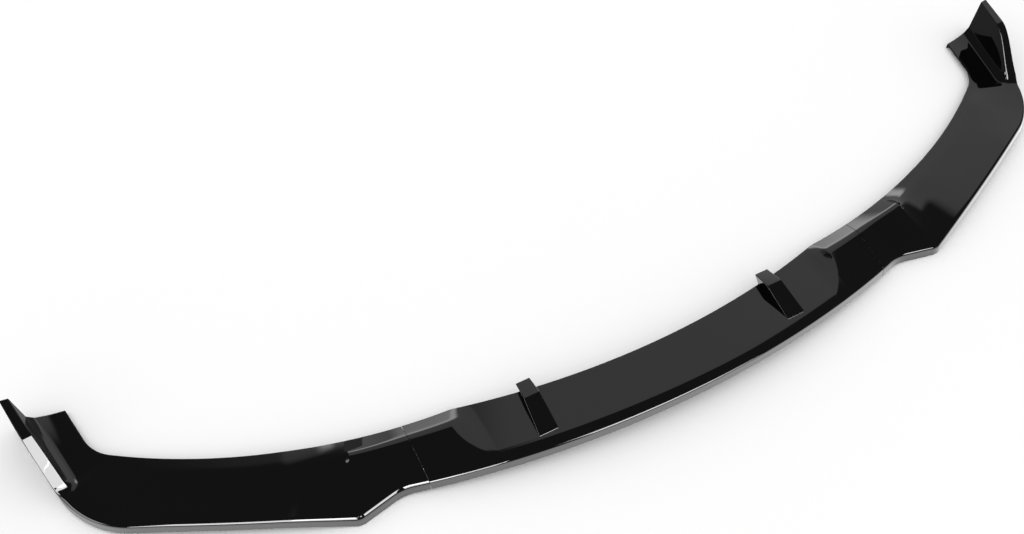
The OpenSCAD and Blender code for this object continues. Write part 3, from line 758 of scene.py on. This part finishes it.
def linear(hex_value):
    """An sRGB hex colour as linear RGBA."""
    parts = [int(hex_value[i:i + 2], 16) / 255 for i in (1, 3, 5)]
    return [c / 12.92 if c <= 0.04045 else ((c + 0.055) / 1.055) ** 2.4 for c in parts] + [1.0]


def node(tree, kind, settings=None, **inputs):
    """Adds a node, sets its settings, and gives its inputs a value or a link. An input is named by
    its identifier, because sockets of one node can share a name."""
    made = tree.nodes.new(kind)
    for key, value in (settings or {}).items():
        setattr(made, key, value)
    for key, value in inputs.items():
        words = key.replace("_", " ")
        socket = next(s for s in made.inputs if s.identifier.replace("_", " ") == words)
        if isinstance(value, bpy.types.NodeSocket):
            tree.links.new(value, socket)
        else:
            socket.default_value = value
    return made


def new_material(name):
    material = bpy.data.materials.new(name)
    material.use_nodes = True
    material.node_tree.nodes.clear()
    return material


SINK_SPACING = 0.11
SINK_DEPTH = 0.00025
MOTTLE_SPACING = 0.004
MOTTLE_SHADE = 0.85
LEAST_REACH = 1e-4
SHADE_SAMPLES = 8


def gloss_black_abs():
    """ABS, injection moulded in a polished tool: near black, mirror smooth, faintly wavy."""
    material = new_material("moulded_gloss_abs")
    tree = material.node_tree
    place = node(tree, "ShaderNodeTexCoord")
    sinks = node(tree, "ShaderNodeTexNoise", Vector=place.outputs["Object"], Scale=1 / SINK_SPACING,
                 Detail=1.0)
    waves = node(tree, "ShaderNodeBump", Height=sinks.outputs["Fac"], Strength=1.0, Distance=SINK_DEPTH)
    black = linear(bpy.context.scene.lip_looks.abs_black)
    shader = node(tree, "ShaderNodeBsdfPrincipled", Base_Color=black, Roughness=0.03, IOR=1.54,
                  Normal=waves.outputs["Normal"])
    node(tree, "ShaderNodeOutputMaterial", Surface=shader.outputs[0])
    return material


def bright_zinc():
    """Steel with bright zinc plate: a pale grey metal, finely mottled, with a soft sheen."""
    material = new_material("bright_zinc_plate")
    tree = material.node_tree
    zinc = linear(bpy.context.scene.lip_looks.zinc)
    place = node(tree, "ShaderNodeTexCoord")
    mottle = node(tree, "ShaderNodeTexNoise", Vector=place.outputs["Object"], Scale=1 / MOTTLE_SPACING,
                  Detail=2.0)
    ramp = node(tree, "ShaderNodeValToRGB", Fac=mottle.outputs["Fac"])
    ramp.color_ramp.elements[0].color = [MOTTLE_SHADE * c for c in zinc[:3]] + [1.0]
    ramp.color_ramp.elements[1].color = zinc
    shader = node(tree, "ShaderNodeBsdfPrincipled", Base_Color=ramp.outputs["Color"], Metallic=1.0,
                  Roughness=0.28)
    node(tree, "ShaderNodeOutputMaterial", Surface=shader.outputs[0])
    return material


def between(tree, value, limits, soft):
    """1 between two limits and 0 outside them, with soft edges."""
    low, high = limits
    edges = [node(tree, "ShaderNodeMapRange", {"interpolation_type": "SMOOTHSTEP"}, Value=value,
                  From_Min=start, From_Max=stop)
             for start, stop in ((low - soft, low + soft), (high + soft, high - soft))]
    return node(tree, "ShaderNodeMath", {"operation": "MULTIPLY"}, Value=edges[0].outputs[0],
                Value_001=edges[1].outputs[0]).outputs[0]


def panel(tree, way, heading, across, heights, soft):
    """Where a far upright panel is seen: 1 on it and 0 beside it."""
    forward, sideways = [
        node(tree, "ShaderNodeVectorMath", {"operation": "DOT_PRODUCT"}, Vector=way, Vector_001=axis)
        for axis in ((sin(heading), cos(heading), 0), (cos(heading), -sin(heading), 0))]
    reach = node(tree, "ShaderNodeMath", {"operation": "MAXIMUM"}, Value=forward.outputs["Value"],
                 Value_001=LEAST_REACH)
    height = node(tree, "ShaderNodeSeparateXYZ", Vector=way)
    seen = []
    for place, limits in ((sideways.outputs["Value"], across), (height.outputs["Z"], heights)):
        slope = node(tree, "ShaderNodeMath", {"operation": "DIVIDE"}, Value=place,
                     Value_001=reach.outputs[0])
        seen.append(between(tree, slope.outputs[0], limits, soft))
    return node(tree, "ShaderNodeMath", {"operation": "MULTIPLY"}, Value=seen[0],
                Value_001=seen[1]).outputs[0]


def white_room(light):
    """An evenly white room. Gloss sees its dark ceiling, its lit rear wall and its lamps."""
    world = bpy.data.worlds.new("white_room")
    world.use_nodes = True
    tree = world.node_tree
    tree.nodes.clear()
    way = node(tree, "ShaderNodeTexCoord").outputs["Generated"]
    seen = light.ceiling_level
    for level_seen, heading, across, heights, soft in (
            (light.wall_level, light.wall_head, light.wall_across, light.wall_heights, light.wall_soft),
            (light.wall_level, light.wall_head, light.head_across, light.head_heights, light.wall_soft),
            (light.lamp_level, light.wall_head, light.lamp_across, light.lamp_heights, light.lamp_soft),
            (light.side_level, light.side_head, light.side_across, light.side_heights, light.side_soft)):
        there = panel(tree, way, heading, across, heights, soft)
        seen = node(tree, "ShaderNodeMath", {"operation": "MULTIPLY_ADD"}, Value=there,
                    Value_001=level_seen, Value_002=seen).outputs[0]
    path = node(tree, "ShaderNodeLightPath")
    strength = node(tree, "ShaderNodeMix", Factor_Float=path.outputs["Is Glossy Ray"], A_Float=1.0,
                    B_Float=seen)
    paper = node(tree, "ShaderNodeBackground", Color=(1, 1, 1, 1), Strength=strength.outputs[0])
    node(tree, "ShaderNodeOutputWorld", Surface=paper.outputs[0])
    return world


def floor_material(light):
    """White paper that keeps the shadow. Gloss sees a painted glow on it instead: painted light that is
    bright in front of the lip and falls off behind it, with painted shade near and under the lip.
    """
    material = new_material("white_paper")
    tree = material.node_tree
    paper = node(tree, "ShaderNodeBsdfDiffuse", Color=(1, 1, 1, 1))
    # Painted shade: occlusion darkens the floor's glow near and under the lip.
    shade = node(tree, "ShaderNodeAmbientOcclusion", {"samples": SHADE_SAMPLES}, Distance=light.floor_shade)
    place = node(tree, "ShaderNodeNewGeometry")
    axes = node(tree, "ShaderNodeSeparateXYZ", Vector=place.outputs["Position"])
    # Painted pool of light: the glow falls from bright in front of the lip to dim behind it.
    fall = node(tree, "ShaderNodeMapRange", {"interpolation_type": "SMOOTHSTEP"}, Value=axes.outputs["Y"],
                From_Min=light.floor_front_y, From_Max=light.floor_rear_y,
                To_Min=light.floor_front_level, To_Max=light.floor_rear_level)
    glow = node(tree, "ShaderNodeMath", {"operation": "MULTIPLY"}, Value=shade.outputs["AO"],
                Value_001=fall.outputs[0])
    # The painted glow: an emission that gloss sees in place of the lit paper.
    lit = node(tree, "ShaderNodeEmission", Color=(1, 1, 1, 1), Strength=glow.outputs[0])
    path = node(tree, "ShaderNodeLightPath")
    mixed = node(tree, "ShaderNodeMixShader", Fac=path.outputs["Is Glossy Ray"], Shader=paper.outputs[0],
                 Shader_001=lit.outputs[0])
    node(tree, "ShaderNodeOutputMaterial", Surface=mixed.outputs[0])
    return material


def add_softbox(name, across, heights, y, brightness):
    """An upright softbox in front of the lip that only gloss sees, between two places across
    and two heights. Its brightness is how bright it looks, where 1 is white."""
    lamp = bpy.data.lights.new(name, "AREA")
    lamp.shape = "RECTANGLE"
    lamp.size, lamp.size_y = across[1] - across[0], heights[1] - heights[0]
    lamp.energy = brightness * pi * lamp.size * lamp.size_y
    softbox = bpy.data.objects.new(name, lamp)
    softbox.location = (sum(across) / 2, y, sum(heights) / 2)
    softbox.rotation_euler = (pi / 2, 0, 0)
    softbox.visible_camera = False
    softbox.visible_diffuse = False
    bpy.context.scene.collection.objects.link(softbox)


def shared_material(name, make):
    return bpy.data.materials.get(name) or make()


# Operators

class LIP_OT_camera(bpy.types.Operator):
    """Places the camera at the viewing angle of the lip"""
    bl_idname = "lip.camera"
    bl_label = "Camera"

    def execute(self, context):
        looks = context.scene.lip_looks
        data = bpy.data.cameras.new("camera")
        data.lens = looks.camera_lens * 1000
        camera = bpy.data.objects.new("camera", data)
        camera.location = looks.camera_place
        camera.rotation_euler = (pi / 2 - looks.camera_elevation, 0, looks.camera_azimuth)
        context.scene.collection.objects.link(camera)
        context.scene.camera = camera
        return {"FINISHED"}


class LIP_OT_side_sections(bpy.types.Operator):
    """Builds the right section with its winglet and mirrors it to the left"""
    bl_idname = "lip.side_sections"
    bl_label = "Side sections"

    def execute(self, context):
        shape = shape_now()
        right = side_mesh(shape)
        hole_y = shape.rear_edge(shape.side_v(shape.fix_x))[1] - shape.fix_in + shape.y_shift
        hole = Matrix.Translation((shape.fix_x, hole_y, shape.mid_rear_z))
        right = carve(right, rods("holes", [hole], shape.fix_d, 2 * shape.mid_rear_z), "DIFFERENCE")
        right = carve(right, rods("holes", bolt_places(shape, [1]), shape.hole_d, 4 * shape.flange_t),
                      "DIFFERENCE")
        left = right.copy()
        left.name = "left_section"
        left.transform(Matrix.Scale(-1, 4, (1, 0, 0)))
        left.flip_normals()
        for mesh, name in ((right, "right_section"), (left, "left_section")):
            mesh.materials.append(shared_material("moulded_gloss_abs", gloss_black_abs))
            add_piece(name + "_shell", mesh, name)
        return {"FINISHED"}


class LIP_OT_centre_section(bpy.types.Operator):
    """Builds the centre section with its scoop and its two fins"""
    bl_idname = "lip.centre_section"
    bl_label = "Centre section"

    def execute(self, context):
        shape = shape_now()
        mesh = carve(centre_mesh(shape), fin_bodies(shape, 0, shape.skin / 2, shape.fin_round), "UNION")
        mesh = carve(mesh, fin_bodies(shape, shape.fin_wall, 3 * shape.skin, 0), "DIFFERENCE")
        mesh = carve(mesh, rods("holes", bolt_places(shape, [1, -1]), shape.hole_d, 4 * shape.flange_t),
                     "DIFFERENCE")
        mesh.materials.append(shared_material("moulded_gloss_abs", gloss_black_abs))
        add_piece("centre_section_shell", mesh, "centre_section")
        return {"FINISHED"}


class LIP_OT_hardware(bpy.types.Operator):
    """Gives the bolts, washers and nuts of both seams their zinc plate"""
    bl_idname = "lip.hardware"
    bl_label = "Hardware"

    def execute(self, context):
        for side in ("left", "right"):
            for kind in ("bolts", "washers", "nuts"):
                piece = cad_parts[f"{side}_joint_{kind}"]
                piece.data.materials.clear()
                piece.data.materials.append(shared_material("bright_zinc_plate", bright_zinc))
        return {"FINISHED"}


class LIP_OT_stage(bpy.types.Operator):
    """Builds the floor, the white room and the softboxes"""
    bl_idname = "lip.stage"
    bl_label = "Stage"

    def execute(self, context):
        light = context.scene.lip_light
        mesh = bpy.data.meshes.new("floor")
        half = light.floor_size / 2
        mesh.from_pydata([(-half, -half, 0), (half, -half, 0), (half, half, 0), (-half, half, 0)], [],
                         [(0, 1, 2, 3)])
        floor = bpy.data.objects.new("floor", mesh)
        context.scene.collection.objects.link(floor)
        mesh.materials.append(floor_material(light))
        context.scene.world = white_room(light)
        for name, across, heights, y in (
                ("left_softbox", light.left_box, light.softbox_z, light.softbox_y),
                ("right_softbox", light.right_box, light.softbox_z, light.softbox_y),
                ("near_softbox", light.near_box, light.near_box_z, light.near_box_y)):
            add_softbox(name, across, heights, y, light.softbox_level)
        context.scene.view_settings.view_transform = "Standard"
        return {"FINISHED"}


class LIP_PT_panel(bpy.types.Panel):
    """Lists the lip's pieces and their sizes"""
    bl_idname = "LIP_PT_panel"
    bl_label = "Splitter lip"
    bl_space_type = "VIEW_3D"
    bl_region_type = "UI"
    bl_category = "Splitter lip"

    def draw(self, context):
        for operator in OPERATORS:
            self.layout.operator(operator.bl_idname)
        for group in (context.scene.lip_plan, context.scene.lip_heights, context.scene.lip_edges,
                      context.scene.lip_looks, context.scene.lip_light):
            box = self.layout.box()
            for name in group.__annotations__:
                box.prop(group, name)


GROUPS = {"lip_plan": LipPlanSizes, "lip_heights": LipHeightSizes, "lip_edges": LipEdgeSizes,
          "lip_looks": LipLooks, "lip_light": StageLight}
OPERATORS = (LIP_OT_camera, LIP_OT_side_sections, LIP_OT_centre_section, LIP_OT_hardware, LIP_OT_stage)


def register():
    for group in GROUPS.values():
        bpy.utils.register_class(group)
    for name, group in GROUPS.items():
        setattr(bpy.types.Scene, name, bpy.props.PointerProperty(type=group))
    for item in (*OPERATORS, LIP_PT_panel):
        bpy.utils.register_class(item)


def unregister():
    for item in (LIP_PT_panel, *reversed(OPERATORS)):
        bpy.utils.unregister_class(item)
    for name, group in GROUPS.items():
        delattr(bpy.types.Scene, name)
        bpy.utils.unregister_class(group)


def main():
    register()
    bpy.ops.lip.camera()
    bpy.ops.lip.side_sections()
    bpy.ops.lip.centre_section()
    bpy.ops.lip.hardware()
    bpy.ops.lip.stage()


if __name__ == "__main__":
    main()
